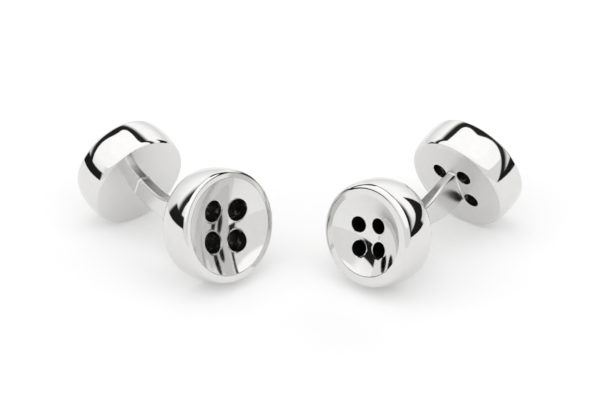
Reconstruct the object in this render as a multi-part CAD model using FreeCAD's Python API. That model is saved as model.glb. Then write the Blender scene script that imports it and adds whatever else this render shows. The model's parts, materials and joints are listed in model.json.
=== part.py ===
import FreeCAD, Part
import math
import os
from collections import namedtuple

# A pair of double-ended button cufflinks, resting on a table.
# Each one is a front button and a back button, pegged and soldered to the two ends of an arched bar.
# Millimetres and degrees. X runs along the pair, Y away from the viewer, Z up from the table.

# Front button, the larger head, drilled right through
front_diameter = 12.9
front_thickness = 4.5
front_side_radius = 10.0
front_rim_round = 0.35
front_seat_inset = 0.42
front_seat_round = 1.2
front_seat_dome = 0.3
front_dish_diameter = 10.9
front_dish_depth = 1.1
front_lip_round = 0.3
front_hole_diameter = 2.4
front_hole_pitch = 3.45
front_hole_turn = -7.0
front_hole_drop = 0
front_widest_share = 0.565

# Back button, the smaller head with a fuller rim and blind holes
back_diameter = 12.2
back_thickness = 5.05
back_side_radius = 8.0
back_rim_round = 0.65
back_seat_inset = 0.37
back_seat_round = 1.0
back_seat_dome = 0.6
back_dish_diameter = 9.2
back_dish_depth = 0.9
back_lip_round = 0.35
back_hole_diameter = 1.75
back_hole_pitch = 2.68
back_hole_depth = 2.6
back_hole_turn = 14.5
back_hole_drop = 0.3
back_widest_share = 0.51

# Draft of the cast holes, which are widest at the dish
hole_draft = 5.0

# Arched bar, measured along its centre line between the two inner faces
bar_length = 11.8
bar_bend = 33.2
bar_back_height = 2.2
bar_back_thickness = 1.6
bar_front_height = 4.1
bar_front_thickness = 1.15
bar_edge_round = 0.3
bar_flare_shares = (0.25, 0.9)
bar_thinning_shares = (0.5, 1.0)
bar_sections = 9

# Soldered peg at each end of the bar, in its socket
peg_diameter = 1.4
peg_length = 1.2
peg_clearance = 0.03
socket_relief = 0.1

# How the two cufflinks lie
pair_spacing = 28.6
pair_stagger = 0.75
pair_heading = 50.0
left_lean = 10.0
right_lean = 0.0

# Past the end of every cut
cut_overrun = 0.5

UP = FreeCAD.Vector(0, 0, 1)
LENGTHWISE = FreeCAD.Vector(1, 0, 0)
SIDEWAYS = FreeCAD.Vector(0, -1, 0)
PATTERN_CORNERS = (45, 135, 225, 315)

Head = namedtuple("Head", "diameter thickness side_radius widest_share rim_round "
                          "seat_inset seat_round seat_dome dish_diameter dish_depth lip_round "
                          "hole_diameter hole_pitch hole_turn hole_drop hole_depth")
FRONT = Head(front_diameter, front_thickness, front_side_radius, front_widest_share, front_rim_round,
             front_seat_inset, front_seat_round, front_seat_dome, front_dish_diameter, front_dish_depth,
             front_lip_round, front_hole_diameter, front_hole_pitch, front_hole_turn, front_hole_drop,
             front_thickness + cut_overrun)
BACK = Head(back_diameter, back_thickness, back_side_radius, back_widest_share, back_rim_round,
            back_seat_inset, back_seat_round, back_seat_dome, back_dish_diameter, back_dish_depth,
            back_lip_round, back_hole_diameter, back_hole_pitch, back_hole_turn, back_hole_drop,
            back_hole_depth)


def on_circle(centre, radius, angle):
    """Point of a profile circle, at an angle in radians from the outward direction."""
    return centre + FreeCAD.Vector(radius * math.cos(angle), 0, radius * math.sin(angle))


def arc(centre, radius, start, stop):
    points = [on_circle(centre, radius, angle) for angle in (start, (start + stop) / 2, stop)]
    return Part.Arc(*points).toShape()


def angle_to(origin, point):
    return math.atan2(point.z - origin.z, point.x - origin.x)


def side_centre(head):
    """Centre of the crowned side wall's profile arc."""
    return FreeCAD.Vector(head.diameter / 2 - head.side_radius, 0, head.thickness * head.widest_share)


def cap_radius(width, depth):
    """Radius of a spherical cap from its width and depth."""
    return ((width / 2) ** 2 + depth ** 2) / (2 * depth)


def dome_centre(head):
    """Centre of the domed inner face's profile arc, whose lowest point is the origin."""
    return FreeCAD.Vector(0, 0, cap_radius(head.diameter, head.seat_dome))


def rim_centre(head):
    """Centre of the rim's outer rounding, tangent to the rim's plane and to the side wall."""
    side = side_centre(head)
    height = head.thickness - head.rim_round
    reach = math.sqrt((head.side_radius - head.rim_round) ** 2 - (height - side.z) ** 2)
    return FreeCAD.Vector(side.x + reach, 0, height)


def seat_edge(head):
    """Crisp edge of the domed inner face, as a point of the profile."""
    reach, dome = head.diameter / 2 - head.seat_inset, dome_centre(head)
    return FreeCAD.Vector(reach, 0, dome.z - math.sqrt(dome.z ** 2 - reach ** 2))


def seat_centre(head):
    """Centre of the rounding that rolls the side wall in to the crisp edge."""
    edge, side = seat_edge(head), side_centre(head)
    span = side - edge
    side_reach = head.side_radius - head.seat_round
    along = (head.seat_round ** 2 - side_reach ** 2 + span.Length ** 2) / (2 * span.Length)
    across = math.sqrt(head.seat_round ** 2 - along ** 2)
    span.normalize()
    return edge + span * along + FreeCAD.Vector(span.z, 0, -span.x) * across


def head_profile(head):
    """Half section of a button: domed inner face, crowned side, rim, rounded lip and dish."""
    dome, side, seat, rim = dome_centre(head), side_centre(head), seat_centre(head), rim_centre(head)
    edge = seat_edge(head)
    dish_radius = cap_radius(head.dish_diameter, head.dish_depth)
    dish = FreeCAD.Vector(0, 0, head.thickness - head.dish_depth + dish_radius)
    lip_height = head.thickness - head.lip_round
    lip_reach = math.sqrt((dish_radius + head.lip_round) ** 2 - (dish.z - lip_height) ** 2)
    lip = FreeCAD.Vector(lip_reach, 0, lip_height)
    quarter = math.pi / 2
    edges = [
        arc(dome, dome.z, -quarter, angle_to(dome, edge)),
        arc(seat, head.seat_round, angle_to(seat, edge), angle_to(side, seat)),
        arc(side, head.side_radius, angle_to(side, seat), angle_to(side, rim)),
        arc(rim, head.rim_round, angle_to(side, rim), quarter),
        Part.makeLine(on_circle(rim, head.rim_round, quarter), on_circle(lip, head.lip_round, quarter)),
        arc(lip, head.lip_round, quarter, angle_to(lip, dish)),
        arc(dish, dish_radius, angle_to(dish, lip), -quarter),
        Part.makeLine(on_circle(dish, dish_radius, -quarter), FreeCAD.Vector(0, 0, 0)),
    ]
    return Part.Face(Part.Wire(edges))


def hole_centres(head):
    """Centres of the four holes, on a square that is turned and set a little below the middle."""
    reach = head.hole_pitch / math.sqrt(2)
    angles = [math.radians(corner + head.hole_turn) for corner in PATTERN_CORNERS]
    return [FreeCAD.Vector(reach * math.cos(angle), reach * math.sin(angle) - head.hole_drop, 0)
            for angle in angles]


def hole_cut(head, centre):
    """Tapered hole, at its named diameter on the level of the dish's floor."""
    bottom = head.thickness - head.hole_depth
    top = head.thickness + cut_overrun
    floor = head.thickness - head.dish_depth
    radii = [head.hole_diameter / 2 + (level - floor) * math.tan(math.radians(hole_draft))
             for level in (bottom, top)]
    return Part.makeCone(*radii, top - bottom, centre + UP * bottom)


def button(head):
    """Button on its own axis, with its domed inner face standing on the origin and the dish on top."""
    body = head_profile(head).revolve(FreeCAD.Vector(0, 0, 0), UP, 360)
    holes = [hole_cut(head, centre) for centre in hole_centres(head)]
    socket_depth = peg_length + socket_relief
    bore = peg_diameter / 2 + peg_clearance
    socket = Part.makeCylinder(bore, socket_depth + cut_overrun, UP * -cut_overrun)
    return body.cut(holes + [socket]).Solids[0]


def bar_point(share):
    """Point of the bar's centre line, from the back button at 0 to the front button at 1."""
    angle = math.radians(bar_bend) * (share - 0.5)
    radius = bar_length / math.radians(bar_bend)
    return FreeCAD.Vector(radius * math.sin(angle), 0, radius * (1 - math.cos(angle)))


def bar_direction(share):
    angle = math.radians(bar_bend) * (share - 0.5)
    return FreeCAD.Vector(math.cos(angle), 0, math.sin(angle))


def eased(share, shares):
    """Smooth step from 0 to 1 between two places along the bar."""
    start, stop = shares
    step = min(max((share - start) / (stop - start), 0), 1)
    return step * step * (3 - 2 * step)


def section_axes(share):
    """Thickness and height directions of the bar's section, turned towards the front holes' columns."""
    direction = bar_direction(share)
    turn = front_hole_turn * eased(share, bar_flare_shares)
    spin = FreeCAD.Rotation(direction, turn)
    return spin.multVec(SIDEWAYS), spin.multVec(direction.cross(SIDEWAYS) * -1)


def bar_section(share):
    """Rounded rectangle across the bar."""
    height = bar_back_height + (bar_front_height - bar_back_height) * eased(share, bar_flare_shares)
    thinning = eased(share, bar_thinning_shares)
    thickness = bar_back_thickness + (bar_front_thickness - bar_back_thickness) * thinning
    across, upright = section_axes(share)
    middle = bar_point(share)
    half_flat = thickness / 2 - bar_edge_round
    half_wall = height / 2 - bar_edge_round
    corners = [(1, 1), (-1, 1), (-1, -1), (1, -1)]
    edges = []
    last_end = None
    for count, (side, level) in enumerate(corners):
        centre = middle + across * (side * half_flat) + upright * (level * half_wall)
        first, second = across * side, upright * level
        if count % 2:
            first, second = second, first
        start = centre + first * bar_edge_round
        halfway = centre + (first + second).normalize() * bar_edge_round
        end = centre + second * bar_edge_round
        if last_end:
            edges.append(Part.makeLine(last_end, start))
        edges.append(Part.Arc(start, halfway, end).toShape())
        last_end = end
    edges.append(Part.makeLine(last_end, edges[0].Vertexes[0].Point))
    return Part.Wire(edges)


def arched_bar():
    """Bar that flattens into a tall blade between the front button's holes, with a peg at each end."""
    shares = [count / (bar_sections - 1) for count in range(bar_sections)]
    blade = Part.makeLoft([bar_section(share) for share in shares], True)
    back_peg = Part.makeCylinder(peg_diameter / 2, peg_length, bar_point(0), bar_direction(0) * -1)
    front_peg = Part.makeCylinder(peg_diameter / 2, peg_length, bar_point(1), bar_direction(1))
    return blade.fuse([back_peg, front_peg]).removeSplitter().Solids[0]


def button_frame(outward):
    """Attitude of a button: its axis outward, and its own Y in the plane of the arch."""
    across = UP.cross(outward).normalize()
    return FreeCAD.Rotation(across, outward.cross(across), outward, "ZXY")


def seated(solid, share, outward):
    """A button set on the bar's end."""
    return solid.transformed(FreeCAD.Placement(bar_point(share), button_frame(outward)).toMatrix())


def lowest(head, share, outward, attitude):
    """Height of a button's lowest point, which lies on its side or on the rounding of its inner edge."""
    axis = attitude.multVec(outward)
    ring, radius = side_centre(head), head.side_radius
    if math.asin(axis.z) > -angle_to(ring, seat_centre(head)):
        ring, radius = seat_centre(head), head.seat_round
    centre = attitude.multVec(bar_point(share) + outward * ring.z)
    return centre.z - ring.x * math.sqrt(1 - axis.z ** 2) - radius


def resting_attitude(lean):
    """Leaned cufflink, pitched until both of its buttons touch the table, and its height there."""
    low, high = -bar_bend, bar_bend
    for _ in range(50):
        pitch = (low + high) / 2
        attitude = FreeCAD.Rotation(LENGTHWISE, -lean) * FreeCAD.Rotation(SIDEWAYS, pitch)
        front_low = lowest(FRONT, 1, bar_direction(1), attitude)
        back_low = lowest(BACK, 0, bar_direction(0) * -1, attitude)
        if front_low > back_low:
            high = pitch
        else:
            low = pitch
    return attitude, -front_low


def cufflink():
    """The three pieces of one cufflink, about the middle of its bar."""
    return {
        "front_button": seated(button(FRONT), 1, bar_direction(1)),
        "bar": arched_bar(),
        "back_button": seated(button(BACK), 0, bar_direction(0) * -1),
    }


def lying(pieces, side, lean):
    """A cufflink laid on the table, on the left (side -1) or on the right (side 1)."""
    attitude, height = resting_attitude(lean)
    heading = FreeCAD.Rotation(UP, side * pair_heading)
    place = FreeCAD.Vector(side * pair_spacing / 2, -side * pair_stagger / 2, height)
    matrix = FreeCAD.Placement(place, heading * attitude).toMatrix()
    return {name: solid.transformed(matrix) for name, solid in pieces.items()}


def pair():
    """Both cufflinks, with the origin under the middle of the pair."""
    pieces = cufflink()
    nodes = {}
    for prefix, side, lean in (("left_", -1, left_lean), ("right_", 1, right_lean)):
        for name, solid in lying(pieces, side, lean).items():
            nodes[prefix + name] = solid
    box = Part.makeCompound(list(nodes.values())).optimalBoundingBox(False)
    middle = FreeCAD.Vector(box.Center.x, box.Center.y, 0)
    return {name: solid.translated(middle * -1) for name, solid in nodes.items()}


os.makedirs("parts", exist_ok=True)
for node, solid in pair().items():
    solid.exportStep(f"parts/{node}.step")
    print(node, "volume", round(solid.Volume, 2), "valid", solid.isValid(), "solids", len(solid.Solids))
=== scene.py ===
# %% [markdown]
# # A pair of silver button cufflinks
# Each cufflink is three pieces of polished silver: a large front button, an arched bar and a small back
# button. The packed CAD model is loaded first and stays fixed. Every piece made here takes the place of one
# of its nodes, at the same size, with the smooth surfaces that a mirror polish needs. Blender's start-up
# cube, lamp and camera go before the box is measured, so that the box is the part's own.

# %% Load the fixed frame
import bpy
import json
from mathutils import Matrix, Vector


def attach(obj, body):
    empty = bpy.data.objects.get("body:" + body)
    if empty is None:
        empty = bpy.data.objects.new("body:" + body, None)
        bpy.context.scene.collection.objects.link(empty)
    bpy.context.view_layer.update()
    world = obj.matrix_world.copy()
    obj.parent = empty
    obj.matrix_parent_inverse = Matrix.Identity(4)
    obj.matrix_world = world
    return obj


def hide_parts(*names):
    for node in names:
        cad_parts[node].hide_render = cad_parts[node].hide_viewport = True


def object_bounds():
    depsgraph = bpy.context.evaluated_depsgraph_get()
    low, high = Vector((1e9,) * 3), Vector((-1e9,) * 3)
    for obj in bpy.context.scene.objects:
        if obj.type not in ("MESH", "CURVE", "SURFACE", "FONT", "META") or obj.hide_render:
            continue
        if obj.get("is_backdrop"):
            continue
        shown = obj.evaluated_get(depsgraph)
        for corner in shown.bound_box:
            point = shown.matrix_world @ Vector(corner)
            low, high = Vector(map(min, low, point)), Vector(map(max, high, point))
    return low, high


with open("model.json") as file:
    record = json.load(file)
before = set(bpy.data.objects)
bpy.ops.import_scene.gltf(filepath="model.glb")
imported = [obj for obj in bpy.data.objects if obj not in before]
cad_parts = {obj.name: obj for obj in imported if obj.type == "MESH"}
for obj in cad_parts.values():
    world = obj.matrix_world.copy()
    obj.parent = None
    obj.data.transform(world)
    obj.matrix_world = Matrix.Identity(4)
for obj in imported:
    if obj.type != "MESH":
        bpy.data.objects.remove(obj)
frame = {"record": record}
for name in ("Cube", "Light", "Camera"):
    if name in bpy.data.objects:
        bpy.data.objects.remove(bpy.data.objects[name])
cad_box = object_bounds()

import json
import math
from types import SimpleNamespace

import numpy as np
from mathutils import Matrix, Vector, noise
from mathutils.geometry import delaunay_2d_cdt

record = frame["record"]

# %% [markdown]
# ## Sizes
# A polished button hides nothing: its reflections show every size. So the sizes are the CAD model's own, in
# millimetres, and are turned into metres only when a mesh is made. A head is measured along its own axis
# from the lowest point of its domed inner face, where the bar is soldered on, up to its flat rim.

# %% The two heads and the bar
MM = 0.001
FRONT = SimpleNamespace(
    name="front", diameter=12.9, thickness=4.5, side_radius=10.0, widest_share=0.565, rim_round=0.35,
    seat_inset=0.42, seat_round=1.2, seat_dome=0.3, dish_diameter=10.9, dish_depth=1.1, lip_round=0.3,
    hole_diameter=2.4, hole_pitch=3.45, hole_turn=-7.0, hole_drop=0.0, hole_depth=None)
BACK = SimpleNamespace(
    name="back", diameter=12.2, thickness=5.05, side_radius=8.0, widest_share=0.51, rim_round=0.65,
    seat_inset=0.37, seat_round=1.0, seat_dome=0.6, dish_diameter=9.2, dish_depth=0.9, lip_round=0.35,
    hole_diameter=1.75, hole_pitch=2.68, hole_turn=14.5, hole_drop=0.3, hole_depth=2.6)
BAR = SimpleNamespace(
    length=11.8, bend=math.radians(33.2), back_height=2.2, back_thickness=1.6, front_height=4.1,
    front_thickness=1.15, edge_round=0.3, flare_shares=(0.25, 0.9), thinning_shares=(0.5, 1.0))
HOLE_DRAFT = math.radians(5.0)
MOUTH_ROUND = 0.04
ARRIS_ROUND = 0.05
print("heads:", FRONT.diameter, "and", BACK.diameter, "mm, bar:", BAR.length, "mm")

# %% [markdown]
# ## A skin of points, normals and faces
# A mirror surface shows the small errors that averaged normals leave between large and small triangles.
# Blender lets a script give each vertex its own normal instead. The helper below collects points with the
# normals that the exact surface has there, joins rings into strips, and fills a round field with even
# triangles. A zero normal asks Blender for its own average, which suits the rough walls of the holes.

# %% Collect a skin and turn it into a mesh object
FIELD_EDGE_SHARE = 0.7
MERGE_DISTANCE = 1e-9


class Skin:
    def __init__(self):
        self.points, self.normals, self.faces = [], [], []
        self.masks = {"blackened": [], "satin": []}

    def ring(self, points, normals, blackened=0.0, satin=0.0):
        start = len(self.points)
        self.points.extend(points)
        self.normals.extend(normals)
        self.masks["blackened"].extend([blackened] * len(points))
        self.masks["satin"].extend([satin] * len(points))
        return list(range(start, len(self.points)))

    def strip(self, lower, upper):
        """Quads between two closed rings, seen from outside with the lower ring's order turning left."""
        for count in range(len(lower)):
            after = (count + 1) % len(lower)
            self.faces.append((lower[count], lower[after], upper[after], upper[count]))

    def cap(self, ring, point, normal, blackened):
        """Fan from a closed ring to one point."""
        tip = self.ring([point], [normal], blackened)[0]
        for count in range(len(ring)):
            self.faces.append((ring[count], ring[(count + 1) % len(ring)], tip))

    def field(self, outer, holes, spacing, surface, upward, satin):
        """Even triangles inside a round outer ring and outside the hole rings, on a given surface."""
        loops = [outer] + [hole.ring for hole in holes]
        edge = [index for loop in loops for index in loop]
        margin = spacing * FIELD_EDGE_SHARE
        reach = max(math.hypot(*self.points[index][:2]) for index in outer) - margin
        flat = [Vector(self.points[index][:2]) for index in edge]
        steps = int(reach / spacing) + 2
        for row in range(-steps, steps + 1):
            y = row * spacing * math.sqrt(3) / 2
            for column in range(-steps, steps + 1):
                x = (column + 0.5 * (row % 2)) * spacing
                clear = all(math.hypot(x - h.x, y - h.y) > h.radius + margin for h in holes)
                if math.hypot(x, y) < reach and clear:
                    point, normal = surface(x, y)
                    edge += self.ring([point], [normal], 0.0, satin)
                    flat.append(Vector((x, y)))
        found = delaunay_2d_cdt(flat, [], [], 0, MERGE_DISTANCE)
        origin = [which[0] for which in found[3]]
        for face in found[2]:
            middle = sum((found[0][index] for index in face), Vector((0, 0))) / 3
            if all((middle - Vector((h.x, h.y))).length > h.radius for h in holes):
                corners = [edge[origin[index]] for index in face]
                self.faces.append(corners if upward else corners[::-1])

    def mesh_object(self, name, place):
        """Mesh object in metres, in the frame, with the skin's normals, and its masks as attributes."""
        mesh = bpy.data.meshes.new(name)
        turn = place.to_3x3()
        mesh.from_pydata([place @ Vector(point) for point in self.points], [], self.faces)
        mesh.shade_smooth()
        for mask, values in self.masks.items():
            mesh.attributes.new(mask, "FLOAT", "POINT").data.foreach_set("value", values)
        turned = [turn @ Vector(normal) for normal in self.normals]
        mesh.normals_split_custom_set_from_vertices([normal.normalized() for normal in turned])
        mesh.validate()
        piece = bpy.data.objects.new(name, mesh)
        bpy.context.scene.collection.objects.link(piece)
        return piece


print("a skin carries the masks", sorted(Skin().masks))

# %% [markdown]
# ## Where each cufflink lies
# The record says where each bar's middle is and which way it points, and which way each front rim faces.
# The bar's arch turns the rim up by half of its bend, so those two directions give the whole attitude of a
# cufflink. Its own axes are X along the bar, Z up in the plane of the arch, and Y across.

# %% Place from the record's mounts
mounts = {mount["name"]: mount for mount in record["mounts"]}


def cufflink_place(side):
    along = Vector(mounts[f"{side}_bar"]["axis"]).normalized()
    rim = Vector(mounts[f"{side}_front_rim"]["axis"]).normalized()
    up = (rim - along * rim.dot(along)).normalized()
    axes = Matrix((along, up.cross(along), up)).transposed()
    return Matrix.Translation(mounts[f"{side}_bar"]["pos_m"]) @ (axes * MM).to_4x4()


def bar_point(share):
    """Centre line of the bar, from the back button at 0 to the front button at 1."""
    angle = BAR.bend * (share - 0.5)
    radius = BAR.length / BAR.bend
    return Vector((radius * math.sin(angle), 0, radius * (1 - math.cos(angle))))


def bar_direction(share):
    angle = BAR.bend * (share - 0.5)
    return Vector((math.cos(angle), 0, math.sin(angle)))


def head_place(share, outward):
    """A head on the end of the bar, with its own Y in the plane of the arch."""
    across = Vector((0, 0, 1)).cross(outward).normalized()
    axes = Matrix((across, outward.cross(across), outward)).transposed()
    return Matrix.Translation(bar_point(share)) @ axes.to_4x4()


for side in ("left", "right"):
    print(side, "cufflink at", [round(value / MM, 2) for value in cufflink_place(side).translation], "mm")

# %% [markdown]
# ## The button's section
# A jeweller would spin or cast a button from one section: a domed inner face with a crisp edge, a side that
# rolls up from that edge, a rounded rim, a small lip and a dish like part of a sphere. All of these are
# arcs, so each point's normal is the direction from its arc's centre. Even the crisp edge is a tiny arc, as
# no real edge is sharp. First come the centres, found from the sizes by circles that touch each other.

# %% Centres of a head's arcs
def cap_radius(width, depth):
    return ((width / 2) ** 2 + depth ** 2) / (2 * depth)


def meeting(first, reach, second, other_reach):
    """Point at the given reaches from two centres, on the left of the line from the first to the second."""
    span = second - first
    along = (reach ** 2 - other_reach ** 2 + span.length_squared) / (2 * span.length)
    across = math.sqrt(reach ** 2 - along ** 2)
    step = span.normalized()
    return first + step * along + Vector((-step.y, step.x)) * across


def head_arcs(head):
    """Centres and radii of the arcs in a head's section, as (radius from the axis, height)."""
    dome_radius = cap_radius(head.diameter, head.seat_dome)
    dome = Vector((0, dome_radius))
    side = Vector((head.diameter / 2 - head.side_radius, head.thickness * head.widest_share))
    rim_height = head.thickness - head.rim_round
    reach = math.sqrt((head.side_radius - head.rim_round) ** 2 - (rim_height - side.y) ** 2)
    rim = Vector((side.x + reach, rim_height))
    reach = head.diameter / 2 - head.seat_inset
    edge = Vector((reach, dome_radius - math.sqrt(dome_radius ** 2 - reach ** 2)))
    seat = meeting(side, head.side_radius - head.seat_round, edge, head.seat_round)
    arris = meeting(dome, dome_radius - ARRIS_ROUND, seat, head.seat_round - ARRIS_ROUND)
    dish_radius = cap_radius(head.dish_diameter, head.dish_depth)
    dish = Vector((0, head.thickness - head.dish_depth + dish_radius))
    lip_height = head.thickness - head.lip_round
    lip_reach = math.sqrt((dish_radius + head.lip_round) ** 2 - (dish.y - lip_height) ** 2)
    return SimpleNamespace(dome=dome, dome_radius=dome_radius, side=side, rim=rim, seat=seat, arris=arris,
                           dish=dish, dish_radius=dish_radius, lip=Vector((lip_reach, lip_height)))


for head in (FRONT, BACK):
    print(head.name, "dish radius:", round(head_arcs(head).dish_radius, 2), "mm")

# %% [markdown]
# The arcs are then walked in order, from the edge of the domed face round the side to the edge of the dish.
# A small arc needs as many steps as a large one, because a mirror shows the turn of a surface, not its size.

# %% Walk round the section
ARC_STEPS = SimpleNamespace(arris=6, seat=14, side=28, rim=12, lip=8)
SAME_POINT = 1e-6


def heading(start, end):
    return math.atan2(end.y - start.y, end.x - start.x)


def head_runs(head):
    """Each arc in order: centre, radius, first and last angle, steps."""
    arcs = head_arcs(head)
    out_of_dome, out_of_seat = heading(arcs.dome, arcs.arris), heading(arcs.seat, arcs.arris)
    onto_side, onto_rim = heading(arcs.side, arcs.seat), heading(arcs.side, arcs.rim)
    top, into_dish = math.pi / 2, heading(arcs.lip, arcs.dish)
    return [(arcs.arris, ARRIS_ROUND, out_of_dome, out_of_seat, ARC_STEPS.arris),
            (arcs.seat, head.seat_round, out_of_seat, onto_side, ARC_STEPS.seat),
            (arcs.side, head.side_radius, onto_side, onto_rim, ARC_STEPS.side),
            (arcs.rim, head.rim_round, onto_rim, top, ARC_STEPS.rim),
            (arcs.lip, head.lip_round, top, into_dish, ARC_STEPS.lip)]


def head_section(head):
    """Points and normals from the edge of the domed face round the side to the edge of the dish."""
    section = []
    for centre, radius, start, stop, steps in head_runs(head):
        for count in range(steps + 1):
            angle = start + (stop - start) * (count / steps)
            normal = Vector((math.cos(angle), math.sin(angle)))
            point = centre + normal * radius
            if not section or (point - section[-1][0]).length > SAME_POINT:
                section.append((point, normal))
    return section


for head in (FRONT, BACK):
    print(head.name, "section:", len(head_section(head)), "points")

# %% [markdown]
# ## The holes
# The front button's four holes go right through and narrow towards the back, and the back button's are
# blind. A boolean cut would be quick, but a mouth that is cut sharp looks like a drawing. So each hole is
# made of rings, which a later step hangs into the dish.

# %% Places and widths of the holes
HOLE_SEGMENTS = 96


def circle(segments):
    """Evenly spaced angles of a full turn."""
    return [2 * math.pi * count / segments for count in range(segments)]


def hole_centres(head):
    reach = head.hole_pitch / math.sqrt(2)
    turns = [math.radians(corner + head.hole_turn) for corner in (45, 135, 225, 315)]
    return [Vector((reach * math.cos(turn), reach * math.sin(turn) - head.hole_drop)) for turn in turns]


def wall_radius(head, height):
    floor = head.thickness - head.dish_depth
    return head.hole_diameter / 2 + (height - floor) * math.tan(HOLE_DRAFT)


for head in (FRONT, BACK):
    print(head.name, "holes:", len(hole_centres(head)), "of", head.hole_diameter, "mm")

# %% [markdown]
# A small curve rolls each mouth into its wall. The surface may slope at the hole, so every direction round
# the mouth finds its own corner between surface and wall, and a curve of three points passes that corner.

# %% Roll a mouth into a hole
ROUND_STEPS = 6
MOUTH_SHADE = 0.3


def mouth(skin, head, centre, surface, upward):
    """Rings that roll a surface into a hole's wall, from the surface inwards."""
    level = surface(centre.x, centre.y)[0][2]
    wide = wall_radius(head, level) + MOUTH_ROUND
    lean = math.tan(HOLE_DRAFT)
    down = -1 if upward else 1
    rings = [([], []) for _ in range(ROUND_STEPS + 1)]
    for angle in circle(HOLE_SEGMENTS):
        outward = Vector((math.cos(angle), math.sin(angle)))
        start, normal = surface(centre.x + outward.x * wide, centre.y + outward.y * wide)
        normal = Vector(normal)
        slope = -Vector((outward.x, outward.y, 0)).dot(normal) / normal.z
        reach = (wide - wall_radius(head, start[2])) / (1 - slope * lean)
        corner = Vector((wide - reach, start[2] - slope * reach))
        first = Vector((wide, start[2]))
        length = (corner - first).length
        last = corner + Vector((lean * down, down)).normalized() * length
        for step, (points, normals) in enumerate(rings):
            share = step / ROUND_STEPS
            place = first * (1 - share) ** 2 + corner * (2 * share * (1 - share)) + last * share ** 2
            run = (corner - first) * (1 - share) + (last - corner) * share
            face = Vector((-run.y, run.x)) * down
            points.append((centre.x + outward.x * place.x, centre.y + outward.y * place.x, place.y))
            normals.append((outward.x * face.x, outward.y * face.x, face.y))
    shades = [MOUTH_SHADE] + [1.0] * ROUND_STEPS
    made = [skin.ring(points, normals, shade) for (points, normals), shade in zip(rings, shades)]
    for outer, inner in zip(made, made[1:]):
        skin.strip(*((outer, inner) if upward else (inner, outer)))
    return SimpleNamespace(x=centre.x, y=centre.y, radius=wide, ring=made[0], inner=made[-1])


print("mouths rounded by", MOUTH_ROUND, "mm in", ROUND_STEPS, "steps")

# %% [markdown]
# The walls of the real holes were left rough and blackened. A bump in the material would not show in the
# outline of a hole, so the drilling marks are real: noise moves the points of the wall in and out, and it
# fades away towards the mouths.

# %% Rough wall of a hole
WALL_STEPS = 30
WALL_ROUGHNESS = 0.035
FADE_IN, FADE_OUT, LEAST_FADE = 1.6, 6, 0.02
GRAIN_AROUND, GRAIN_ALONG, HOLES_APART = 2.2, 0.9, 9
GRAIN_SCALE, GRAIN_SMOOTHNESS, GRAIN_STEP, GRAIN_LAYERS = 1.7, 0.9, 2.1, 4


def quarter_wave(share):
    return math.sin(math.pi * min(share, 1) / 2)


def wall(skin, head, centre, top_ring, bottom_heights):
    """Rough wall below a mouth, which stops one step above the given heights."""
    top_heights = [skin.points[index][2] for index in top_ring]
    above = top_ring
    for step in range(1, WALL_STEPS):
        share = step / WALL_STEPS
        fade = quarter_wave(share * FADE_IN) * quarter_wave((1 - share) * FADE_OUT + LEAST_FADE)
        points = []
        for angle, high, low in zip(circle(HOLE_SEGMENTS), top_heights, bottom_heights):
            height = high + (low - high) * share
            outward = Vector((math.cos(angle), math.sin(angle)))
            spot = outward * GRAIN_AROUND + centre * HOLES_APART
            spot = Vector((spot.x, spot.y, height * GRAIN_ALONG)) * GRAIN_SCALE
            bump = noise.fractal(spot, GRAIN_SMOOTHNESS, GRAIN_STEP, GRAIN_LAYERS) * WALL_ROUGHNESS * fade
            place = centre + outward * (wall_radius(head, height) + bump)
            points.append((place.x, place.y, height))
        below = skin.ring(points, [(0, 0, 0)] * HOLE_SEGMENTS, 1.0)
        skin.strip(above, below)
        above = below
    return above


print("walls rough to", WALL_ROUGHNESS, "mm in", WALL_STEPS, "steps")

# %% [markdown]
# ## The buttons
# One skin makes a whole button: the turned side as strips, the dish and the domed face as even fields, and
# the holes hung into them. The field points sit exactly on their spheres, so the reflections stay smooth
# between the holes, where a boolean cut would leave long thin triangles.

# %% Build a button
SEGMENTS = 288
FIELD_SPACING = 0.17


def head_skin(head):
    skin = Skin()
    arcs = head_arcs(head)

    def dish(x, y):
        height = arcs.dish.y - math.sqrt(arcs.dish_radius ** 2 - x * x - y * y)
        return (x, y, height), (-x, -y, arcs.dish.y - height)

    def dome(x, y):
        height = arcs.dome.y - math.sqrt(arcs.dome_radius ** 2 - x * x - y * y)
        return (x, y, height), (x, y, height - arcs.dome.y)

    turned = []
    for point, normal in head_section(head):
        places = [(point.x * math.cos(a), point.x * math.sin(a), point.y) for a in circle(SEGMENTS)]
        facing = [(normal.x * math.cos(a), normal.x * math.sin(a), normal.y) for a in circle(SEGMENTS)]
        turned.append(skin.ring(places, facing))
    for lower, upper in zip(turned, turned[1:]):
        skin.strip(lower, upper)
    top_holes, under_holes = [], []
    for centre in hole_centres(head):
        top_mouth = mouth(skin, head, centre, dish, True)
        top_holes.append(top_mouth)
        if head.hole_depth is None:
            low_mouth = mouth(skin, head, centre, dome, False)
            under_holes.append(low_mouth)
            heights = [skin.points[index][2] for index in low_mouth.inner]
            last = wall(skin, head, centre, top_mouth.inner, heights)
            skin.strip(last, low_mouth.inner)
        else:
            bottom = head.thickness - head.hole_depth
            last = wall(skin, head, centre, top_mouth.inner, [bottom] * HOLE_SEGMENTS)
            skin.cap(last, (centre.x, centre.y, bottom), (0, 0, 0), 1.0)
    skin.field(turned[-1], top_holes, FIELD_SPACING, dish, True, 0.0)
    skin.field(turned[0], under_holes, FIELD_SPACING, dome, False, 1.0)
    return skin


pieces = {}
for head, share in ((FRONT, 1), (BACK, 0)):
    skin = head_skin(head)
    outward = bar_direction(share) * (1 if share else -1)
    for side in ("left", "right"):
        node = f"{side}_{head.name}_button"
        place = cufflink_place(side) @ head_place(share, outward)
        pieces[node] = skin.mesh_object(f"{node}_polished", place)
    print(head.name, "button:", len(skin.points), "points,", len(skin.faces), "faces")

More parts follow.
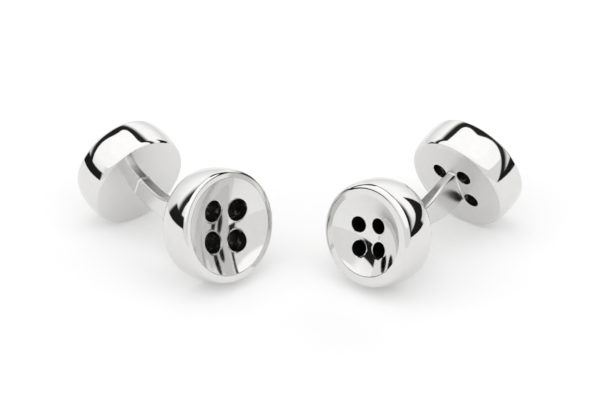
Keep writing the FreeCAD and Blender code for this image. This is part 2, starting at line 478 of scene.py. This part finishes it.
# %% [markdown]
# ## The bar
# The bar starts as a thick rounded stick at the back button, arches over to the front button, and flattens
# there into a tall blade that passes between two columns of holes. A bevelled curve keeps one section all
# along, so the bar is a loft through rounded rectangles instead, each worked out from its place along the
# arch. A short flare at each end stands for the solder that runs round the joint.

# %% Sections of a bar
CORNER_STEPS = 8
FLAT_STEPS = 6
SOLDER_FLARE = 0.12
SOLDER_LENGTH = 0.25
SOLDER_CURVE = 2.5


def eased(share, shares):
    step = min(max((share - shares[0]) / (shares[1] - shares[0]), 0), 1)
    return step * step * (3 - 2 * step)


def outline(thickness, height):
    """Rounded rectangle as (across, upright) points, in order, with its flats divided too."""
    half_flat, half_wall = thickness / 2 - BAR.edge_round, height / 2 - BAR.edge_round
    corners = [(1, 1), (-1, 1), (-1, -1), (1, -1)]
    points = []
    for count, (side, level) in enumerate(corners):
        centre = Vector((side * half_flat, level * half_wall))
        for step in range(CORNER_STEPS + 1):
            angle = math.pi / 2 * (count + step / CORNER_STEPS)
            points.append(centre + Vector((math.cos(angle), math.sin(angle))) * BAR.edge_round)
        ahead = corners[(count + 1) % len(corners)]
        turn = math.pi / 2 * (count + 1)
        following = Vector((ahead[0] * half_flat, ahead[1] * half_wall))
        following += Vector((math.cos(turn), math.sin(turn))) * BAR.edge_round
        points += [points[-1].lerp(following, step / FLAT_STEPS) for step in range(1, FLAT_STEPS)]
    return points


def bar_ring(share):
    """Points of the bar's section at a place along the arch."""
    height = BAR.back_height + (BAR.front_height - BAR.back_height) * eased(share, BAR.flare_shares)
    thinning = eased(share, BAR.thinning_shares)
    thickness = BAR.back_thickness + (BAR.front_thickness - BAR.back_thickness) * thinning
    direction = bar_direction(share)
    turn = Matrix.Rotation(math.radians(FRONT.hole_turn) * eased(share, BAR.flare_shares), 3, direction)
    across = turn @ Vector((0, -1, 0))
    upright = turn @ -direction.cross(Vector((0, -1, 0)))
    gap = max(min(share, 1 - share), 0) * BAR.length
    flare = SOLDER_FLARE * max(0.0, 1 - gap / SOLDER_LENGTH) ** SOLDER_CURVE
    middle = bar_point(share)
    ring = []
    for flat in outline(thickness, height):
        spread = flat + flat.normalized() * flare
        ring.append(middle + across * spread.x + upright * spread.y)
    return ring


print("bar section:", len(bar_ring(0.5)), "points")

# %% [markdown]
# The sections stand closer together in the solder, where the surface turns fast, and the bar goes a little
# way into both heads so that no gap can show. The normals come from neighbouring points of the same grid.

# %% Loft a bar
BAR_STATIONS = 120
BAR_SINK = 0.06
SOLDER_STATIONS = 10
SOLDER_CROWDING = 1.5


def bar_stations():
    """Places along the bar, closer together in the solder at its ends, and a little past both ends."""
    sink = BAR_SINK / BAR.length
    solder = SOLDER_LENGTH / BAR.length
    steps = [count / SOLDER_STATIONS for count in range(SOLDER_STATIONS)]
    ends = [-sink] + [solder * step ** SOLDER_CROWDING for step in steps]
    middle = [solder + (1 - 2 * solder) * count / BAR_STATIONS for count in range(BAR_STATIONS + 1)]
    return ends + middle + [1 - share for share in reversed(ends)]


def bar_skin():
    skin = Skin()
    stations = bar_stations()
    grid = np.array([[tuple(point) for point in bar_ring(share)] for share in stations])
    lengthwise = np.gradient(grid, np.array(stations), axis=0)
    around = np.roll(grid, -1, axis=1) - np.roll(grid, 1, axis=1)
    normals = np.cross(lengthwise, around)
    outward = grid - grid.mean(axis=1, keepdims=True)
    normals *= np.sign((normals * outward).sum(axis=(1, 2), keepdims=True))
    made = [skin.ring([tuple(p) for p in points], [tuple(n) for n in facing])
            for points, facing in zip(grid, normals)]
    for lower, upper in zip(made, made[1:]):
        skin.strip(upper, lower)
    skin.cap(made[0], tuple(grid[0].mean(axis=0)), (-1, 0, 0), 0.0)
    skin.cap(made[-1][::-1], tuple(grid[-1].mean(axis=0)), (1, 0, 0), 0.0)
    return skin


skin = bar_skin()
for side in ("left", "right"):
    pieces[f"{side}_bar"] = skin.mesh_object(f"{side}_bar_polished", cufflink_place(side))
print("bar:", len(skin.points), "points,", len(skin.faces), "faces")

# %% [markdown]
# ## Writing shaders as sums
# A finish is easier to read as an expression than as a list of nodes. The class below wraps one socket of a
# node tree. Adding or multiplying wrapped sockets adds Math nodes, and one method makes any other node: its
# settings first, then the values or links of its sockets.

# %% Wrap a socket
class Wire:
    def __init__(self, tree, socket=None):
        self.tree, self.socket = tree, socket

    def feed(self, socket, value):
        if isinstance(value, Wire):
            self.tree.links.new(value.socket, socket)
        else:
            socket.default_value = value

    def node(self, kind, settings=None, sockets=None, output=0):
        made = self.tree.nodes.new("ShaderNode" + kind)
        for name, value in (settings or {}).items():
            setattr(made, name, value)
        for name, value in (sockets or {}).items():
            self.feed(made.inputs[name], value)
        return Wire(self.tree, made.outputs[output])

    def maths(self, operation, *values):
        return self.node("Math", {"operation": operation}, dict(enumerate(values)))

    def __add__(self, other):
        return self.maths("ADD", self, other)

    def __radd__(self, other):
        return self.maths("ADD", other, self)

    def __sub__(self, other):
        return self.maths("SUBTRACT", self, other)

    def __rsub__(self, other):
        return self.maths("SUBTRACT", other, self)

    def __mul__(self, other):
        return self.maths("MULTIPLY", self, other)

    def __rmul__(self, other):
        return self.maths("MULTIPLY", other, self)

    def rise(self, start, stop):
        """0 below start, 1 above stop, and smooth between."""
        return self.node("MapRange", {"interpolation_type": "SMOOTHSTEP"},
                         {"Value": self, "From Min": start, "From Max": stop, "To Min": 0.0, "To Max": 1.0})

    def between(self, low, high, soft):
        """1 between two values and 0 outside, with soft edges."""
        return self.rise(low - soft, low + soft) * (1 - self.rise(high - soft, high + soft))

    def towards(self, other, share):
        """Mix of two values."""
        return self + (other - self) * share

    def blend(self, colour, other):
        """Mix of two colours, with this value as the share of the second."""
        return self.node("Mix", {"data_type": "RGBA"}, {0: self, 6: colour, 7: other}, 2)


def new_material(name):
    material = bpy.data.materials.new(name)
    material.use_nodes = True
    return material, Wire(material.node_tree), material.node_tree.nodes["Principled BSDF"]


print("operators:", [name for name in vars(Wire) if name.startswith("__r")])

# %% [markdown]
# ## Polished silver
# Polished silver is all reflection, with a very faint haze where the polishing mop left swirls finer than a
# hair. Its colour hardly varies, and is a little darker than bare silver, as with the thin rhodium plating
# that stops tarnish. What does vary is the sharpness of the mirror, so noise drives the roughness a little,
# and a very fine bump breaks the perfect edge of each reflection. The inner faces, behind the bar, are
# harder to reach with a mop and stay more satin: the mesh carries a mask for them. A second mask marks the
# walls of the holes, which are blackened with an oxide that is rough and uneven.

# %% Silver with blackened holes
DULL_SILVER = (0.72, 0.715, 0.705, 1)
BRIGHT_SILVER = (0.78, 0.775, 0.765, 1)
OXIDE = (0.006, 0.0055, 0.005, 1)
WORN_OXIDE = (0.42, 0.38, 0.33, 1)
SWIRL_DEPTH = 0.02 * MM


def speckle(wire, place_mm, scale, detail, roughness):
    """Noise over the metal, with its scale per millimetre."""
    sockets = {"Vector": place_mm, "Scale": scale, "Detail": detail, "Roughness": roughness}
    return wire.node("TexNoise", {}, sockets, "Fac")


def silver(name, polish, inner_polish, worn):
    material, wire, shader = new_material(name)
    place = wire.node("TexCoord", output="Object")
    place_mm = wire.node("VectorMath", {"operation": "SCALE"}, {0: place, "Scale": 1 / MM})
    haze = speckle(wire, place_mm, 1.3, 4.0, 0.6)
    swirl = speckle(wire, place_mm, 14.0, 6.0, 0.7)
    crust = speckle(wire, place_mm, 1.3, 4.0, 0.55)
    satin = wire.node("Attribute", {"attribute_name": "satin"}, output="Fac")
    oxide = wire.node("Attribute", {"attribute_name": "blackened"}, output="Fac").rise(0.25, 0.6)
    rough = (polish + satin * (inner_polish - polish)) * (0.7 + haze * 0.35 + swirl * 0.25)
    glint = crust.rise(worn, worn + 0.16) * oxide
    tone = haze.blend(DULL_SILVER, BRIGHT_SILVER)
    wire.feed(shader.inputs["Base Color"], oxide.blend(tone, glint.blend(OXIDE, WORN_OXIDE)))
    wire.feed(shader.inputs["Roughness"], rough.towards(0.5 - glint * 0.2, oxide))
    wire.feed(shader.inputs["Metallic"], 1 - oxide * 0.4)
    bump = wire.node("Bump", {}, {"Strength": 0.02, "Distance": SWIRL_DEPTH, "Height": swirl}, "Normal")
    wire.feed(shader.inputs["Normal"], bump)
    return material


finishes = {"front": silver("front_silver_mirror", polish=0.06, inner_polish=0.33, worn=0.56),
            "bar": silver("bar_silver_satin", polish=0.24, inner_polish=0.24, worn=0.8),
            "back": silver("back_silver_mirror", polish=0.05, inner_polish=0.09, worn=0.8)}
print("finishes:", sorted(finishes))

# %% [markdown]
# ## On the frame
# A soldered cufflink moves as one, so its three pieces ride on the same body. Each one stands in for the CAD
# node of its name and takes the silver finish of its kind.

# %% Put the pieces on the frame
for node, piece in pieces.items():
    side, kind = node.split("_")[:2]
    piece.data.materials.append(finishes[kind])
    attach(piece, f"{side}_cufflink")
    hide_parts(node)
print("pieces:", sorted(piece.name for piece in pieces.values()))

# %% [markdown]
# ## Camera
# The view is a long lens from in front and above, level with the pair. The angles and the distance were
# found from the outlines of the heads in the picture, whose frame is 600 by 400. A camera could be aimed
# with a constraint, but a matrix made from its own three directions also holds the slight roll.

# %% Camera at the picture's angle
IMAGE_WIDTH = 600
LENS_IN_PIXELS = 2376.4
SENSOR = 36.0
view_target = Vector((0.11, 0.60, 6.00)) * MM
view_distance = 269.57 * MM
view_down, view_turn, view_roll = math.radians(30.48), math.radians(-0.30), math.radians(-0.39)

forward = Vector((math.sin(view_turn) * math.cos(view_down), math.cos(view_turn) * math.cos(view_down),
                  -math.sin(view_down)))
level = Vector((math.cos(view_turn), -math.sin(view_turn), 0))
rightwards = Matrix.Rotation(-view_roll, 3, forward) @ level
camera_data = bpy.data.cameras.new("picture_camera")
camera_data.sensor_fit = "HORIZONTAL"
camera_data.sensor_width = SENSOR
camera_data.lens = LENS_IN_PIXELS * SENSOR / IMAGE_WIDTH
camera_data.clip_start = 10 * MM
camera = bpy.data.objects.new("picture_camera", camera_data)
camera_axes = Matrix((rightwards, rightwards.cross(forward), -forward)).transposed()
camera.matrix_world = Matrix.Translation(view_target - forward * view_distance) @ camera_axes.to_4x4()
bpy.context.scene.collection.objects.link(camera)
bpy.context.scene.camera = camera
print("lens:", round(camera_data.lens, 1), "mm")

# %% [markdown]
# ## Light
# A mirror is lit by what it sees, and silver in an even white tent has no edges. So the tent is made as a
# studio makes it, of separate soft panels: two behind with arched tops, softer side walls and a bright
# ceiling. The tent is a world, given by direction alone, so it is the same from every view. A direction is
# an azimuth, from 0 straight behind the pair to 90 on the right, and an elevation, both in degrees.

# %% A tent of soft panels
PANEL_GLOW, CEILING_GLOW, SIDE_GLOW = 1.25, 1.3, 0.9
PANEL_FOOT_SHARE = 0.7
DEGREES = 180 / math.pi

world = bpy.data.worlds.new("light_tent")
world.use_nodes = True
bpy.context.scene.world = world
tent = Wire(world.node_tree)
xyz = tent.node("SeparateXYZ", {}, {"Vector": tent.node("TexCoord", output="Generated")})
east, north, up = (Wire(world.node_tree, output) for output in xyz.socket.node.outputs)
azimuth = tent.maths("ARCTAN2", east, north) * DEGREES
elevation = tent.maths("ARCSINE", up) * DEGREES

back_panels = azimuth.between(-114, 82, 6)
panel_share = PANEL_FOOT_SHARE + (1 - PANEL_FOOT_SHARE) * elevation.rise(0, 34)
panel = back_panels * panel_share * PANEL_GLOW
side_wall = (1 - back_panels) * (SIDE_GLOW + (PANEL_GLOW - SIDE_GLOW) * elevation.rise(27, 30))
glow = (panel + side_wall).towards(CEILING_GLOW, elevation.rise(48, 60))
print("tent glow:", SIDE_GLOW, "to", CEILING_GLOW)

# %% [markdown]
# The dark gaps between the panels draw the lines in the metal. One gap follows the arched tops and ends
# sharply at the ceiling. The others are dark feet, low on the left and the right, and a dark corner between
# the right panel and its foot.

# %% The gaps between the panels
GAP_DARKNESS = 0.985
LEFT_ARCH = SimpleNamespace(middle=-33, top=46, fall=0.0144)
RIGHT_ARCH = SimpleNamespace(middle=35, top=60, fall=0.0105)
ARCH_BLEND = 16.0
FOOT_SLOPE, CORNER_SLOPE = 0.35, 0.6


def arch_height(arch):
    """Elevation of a panel's top at each azimuth."""
    away = azimuth - arch.middle
    return arch.top - arch.fall * away * away


above_arch = elevation - tent.maths("SMOOTH_MAX", arch_height(LEFT_ARCH), arch_height(RIGHT_ARCH), ARCH_BLEND)
arch_gap = above_arch.rise(-14, -3) * (1 - above_arch.rise(7, 7.8)) * elevation.rise(-2, 0)
left_foot = azimuth.between(-114, -62, 3) * elevation.between(-4, 15, 0.7)
right_foot = azimuth.between(70, 114, 3) * (1 - (elevation + azimuth * FOOT_SLOPE).rise(43, 44.5))
under_corner = 1 - (elevation + azimuth * CORNER_SLOPE).rise(60.5, 62)
right_corner = azimuth.between(44, 84, 1) * elevation.rise(5, 7) * under_corner
gaps = arch_gap
for gap in (left_foot, right_foot, right_corner):
    gaps = tent.maths("MAXIMUM", gaps, gap)
background = world.node_tree.nodes["Background"]
tent.feed(background.inputs["Color"], glow * (1 - gaps * GAP_DARKNESS))
print("tent nodes:", len(world.node_tree.nodes))

# %% [markdown]
# ## Floor
# The floor is a plain white card. Under a tent the light comes from everywhere, so the only shadow is the
# soft dark touch where each head stands. More light would burn out the metal too, so a little glow lifts
# the open card to white instead, for the eye and for the mirrors alike, and leaves that touch.

# %% A white card
FLOOR_SIZE = 2.4
FLOOR_DROP = 0.02 * MM
PAPER, PALE_PAPER = (0.80, 0.80, 0.80, 1), (0.82, 0.82, 0.82, 1)
NO_GLOW, PAPER_GLOW = (0, 0, 0, 1), (0.2, 0.2, 0.2, 1)

bpy.ops.mesh.primitive_plane_add(size=FLOOR_SIZE, location=(0, 0, -FLOOR_DROP))
floor = bpy.context.object
floor.name = "white_card"
card, wire, shader = new_material("white_card_paper")
grain = wire.node("TexNoise", {}, {"Vector": wire.node("TexCoord", output="Object"), "Scale": 900.0}, "Fac")
wire.feed(shader.inputs["Base Color"], grain.blend(PAPER, PALE_PAPER))
wire.feed(shader.inputs["Roughness"], 0.9 + grain * 0.1)
shader.inputs["Specular IOR Level"].default_value = 0.0
rays = [wire.node("LightPath", output=f"Is {kind} Ray") for kind in ("Camera", "Glossy", "Transmission")]
lift = wire.maths("MINIMUM", rays[0] + rays[1] + rays[2], 1.0)
wire.feed(shader.inputs["Emission Color"], lift.blend(NO_GLOW, PAPER_GLOW))
shader.inputs["Emission Strength"].default_value = 1.0
floor.data.materials.append(card)
floor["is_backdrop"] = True
print("floor:", FLOOR_SIZE, "m")

# %% [markdown]
# ## The end
# The plain view transform shows each colour as it is written. The box of the finished pieces is measured
# again and kept beside the first one, because the two should agree.

# %% Settings, sizes and the end
bpy.context.scene.view_settings.view_transform = "Standard"
boxes = {"cad": [list(corner) for corner in cad_box], "visual": [list(corner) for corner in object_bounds()]}
for title, box in boxes.items():
    print(title, "box in mm:", [[round(value / MM, 2) for value in corner] for corner in box])
